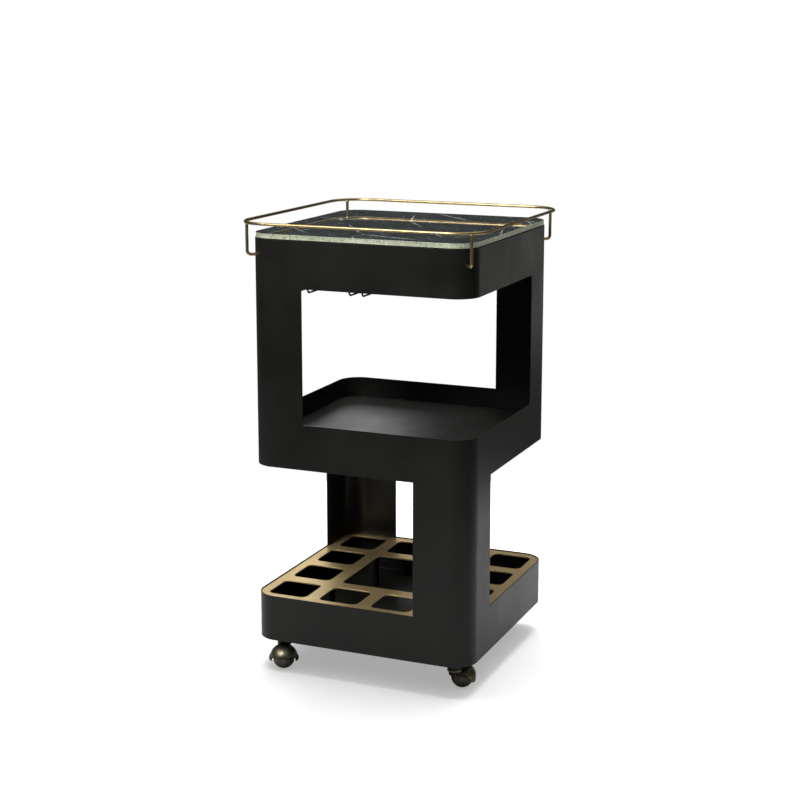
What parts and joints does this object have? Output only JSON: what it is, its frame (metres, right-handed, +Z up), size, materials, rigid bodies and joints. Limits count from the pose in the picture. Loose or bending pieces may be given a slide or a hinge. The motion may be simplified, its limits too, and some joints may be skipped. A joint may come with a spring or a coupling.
{
  "type": "bar cart",
  "caption": "Square sheet-steel bar cart with two open bays, marble top inside a brass gallery rail, stemware rack, serving tray, bottle plate and swivelling ball casters.",
  "frame": {"origin": "on the floor, under the middle of the cart", "axes": "+Z up, +X to the right seen from the front, front face towards -Y"},
  "size_m": [0.5024, 0.5024, 0.902],
  "materials": {
    "black_paint": "black satin powder coat",
    "marble": "polished very dark green marble with fine white veins, honed grey-green edge",
    "silicone": "translucent grey silicone pad",
    "rail_brass": "satin antique brass",
    "plate_bronze": "brushed light bronze",
    "antique_bronze": "dark antique bronze plating",
    "ball_bronze": "dark bronze plated ball",
    "black_wire": "black painted wire and strip",
    "zinc_steel": "zinc plated steel"
  },
  "bodies": {
    "cart": {"base_band": "black_paint", "middle_band": "black_paint", "top_band": "black_paint", "upper_post_front_left": "black_paint", "upper_post_back_right": "black_paint", "lower_post_front_right": "black_paint", "lower_post_back_left": "black_paint", "top_panel": "black_paint", "serving_tray": "black_paint", "base_tray": "black_paint", "marble_top": "marble", "marble_pad_1": "silicone", "marble_pad_2": "silicone", "marble_pad_3": "silicone", "marble_pad_4": "silicone", "gallery_rail": "rail_brass", "rail_post_front_left": "rail_brass", "rail_post_front_right": "rail_brass", "rail_post_back_right": "rail_brass", "rail_post_back_left": "rail_brass", "rail_nut_front_left": "zinc_steel", "rail_nut_front_right": "zinc_steel", "rail_nut_back_right": "zinc_steel", "rail_nut_back_left": "zinc_steel", "rack_channel_left": "black_wire", "rack_channel_right": "black_wire", "rack_hanger_front": "black_wire", "rack_hanger_rear": "black_wire", "rack_screw_1": "zinc_steel", "rack_screw_2": "zinc_steel", "rack_screw_3": "zinc_steel", "rack_screw_4": "zinc_steel", "bottle_plate": "plate_bronze", "plate_pillar_1": "black_paint", "plate_pillar_2": "black_paint", "plate_pillar_3": "black_paint", "plate_pillar_4": "black_paint", "caster_front_left_insert": "zinc_steel", "caster_front_left_neck": "black_paint", "caster_front_right_insert": "zinc_steel", "caster_front_right_neck": "black_paint", "caster_back_right_insert": "zinc_steel", "caster_back_right_neck": "black_paint", "caster_back_left_insert": "zinc_steel", "caster_back_left_neck": "black_paint"},
    "swivel_front_left": {"caster_front_left_hood": "antique_bronze", "caster_front_left_axle": "antique_bronze"},
    "ball_front_left": {"caster_front_left_ball": "ball_bronze"},
    "swivel_front_right": {"caster_front_right_hood": "antique_bronze", "caster_front_right_axle": "antique_bronze"},
    "ball_front_right": {"caster_front_right_ball": "ball_bronze"},
    "swivel_back_right": {"caster_back_right_hood": "antique_bronze", "caster_back_right_axle": "antique_bronze"},
    "ball_back_right": {"caster_back_right_ball": "ball_bronze"},
    "swivel_back_left": {"caster_back_left_hood": "antique_bronze", "caster_back_left_axle": "antique_bronze"},
    "ball_back_left": {"caster_back_left_ball": "ball_bronze"}
  },
  "joints": [
    {"name": "swivel_front_left", "type": "hinge", "parent": "cart", "child": "swivel_front_left", "pos_m": [-0.184, -0.184, 0.0452], "axis": [0, 0, 1], "continuous": true},
    {"name": "roll_front_left", "type": "hinge", "parent": "swivel_front_left", "child": "ball_front_left", "pos_m": [-0.17423, -0.20701, 0.022], "axis": [0.9205, 0.3907, 0], "continuous": true},
    {"name": "swivel_front_right", "type": "hinge", "parent": "cart", "child": "swivel_front_right", "pos_m": [0.184, -0.184, 0.0452], "axis": [0, 0, 1], "continuous": true},
    {"name": "roll_front_right", "type": "hinge", "parent": "swivel_front_right", "child": "ball_front_right", "pos_m": [0.19131, -0.16009, 0.022], "axis": [-0.9563, 0.2924, 0], "continuous": true},
    {"name": "swivel_back_right", "type": "hinge", "parent": "cart", "child": "swivel_back_right", "pos_m": [0.184, 0.184, 0.0452], "axis": [0, 0, 1], "continuous": true},
    {"name": "roll_back_right", "type": "hinge", "parent": "swivel_back_right", "child": "ball_back_right", "pos_m": [0.15955, 0.1892, 0.022], "axis": [-0.2079, -0.9781, 0], "continuous": true},
    {"name": "swivel_back_left", "type": "hinge", "parent": "cart", "child": "swivel_back_left", "pos_m": [-0.184, 0.184, 0.0452], "axis": [0, 0, 1], "continuous": true},
    {"name": "roll_back_left", "type": "hinge", "parent": "swivel_back_left", "child": "ball_back_left", "pos_m": [-0.20666, 0.17344, 0.022], "axis": [0.4226, -0.9063, 0], "continuous": true}
  ]
}
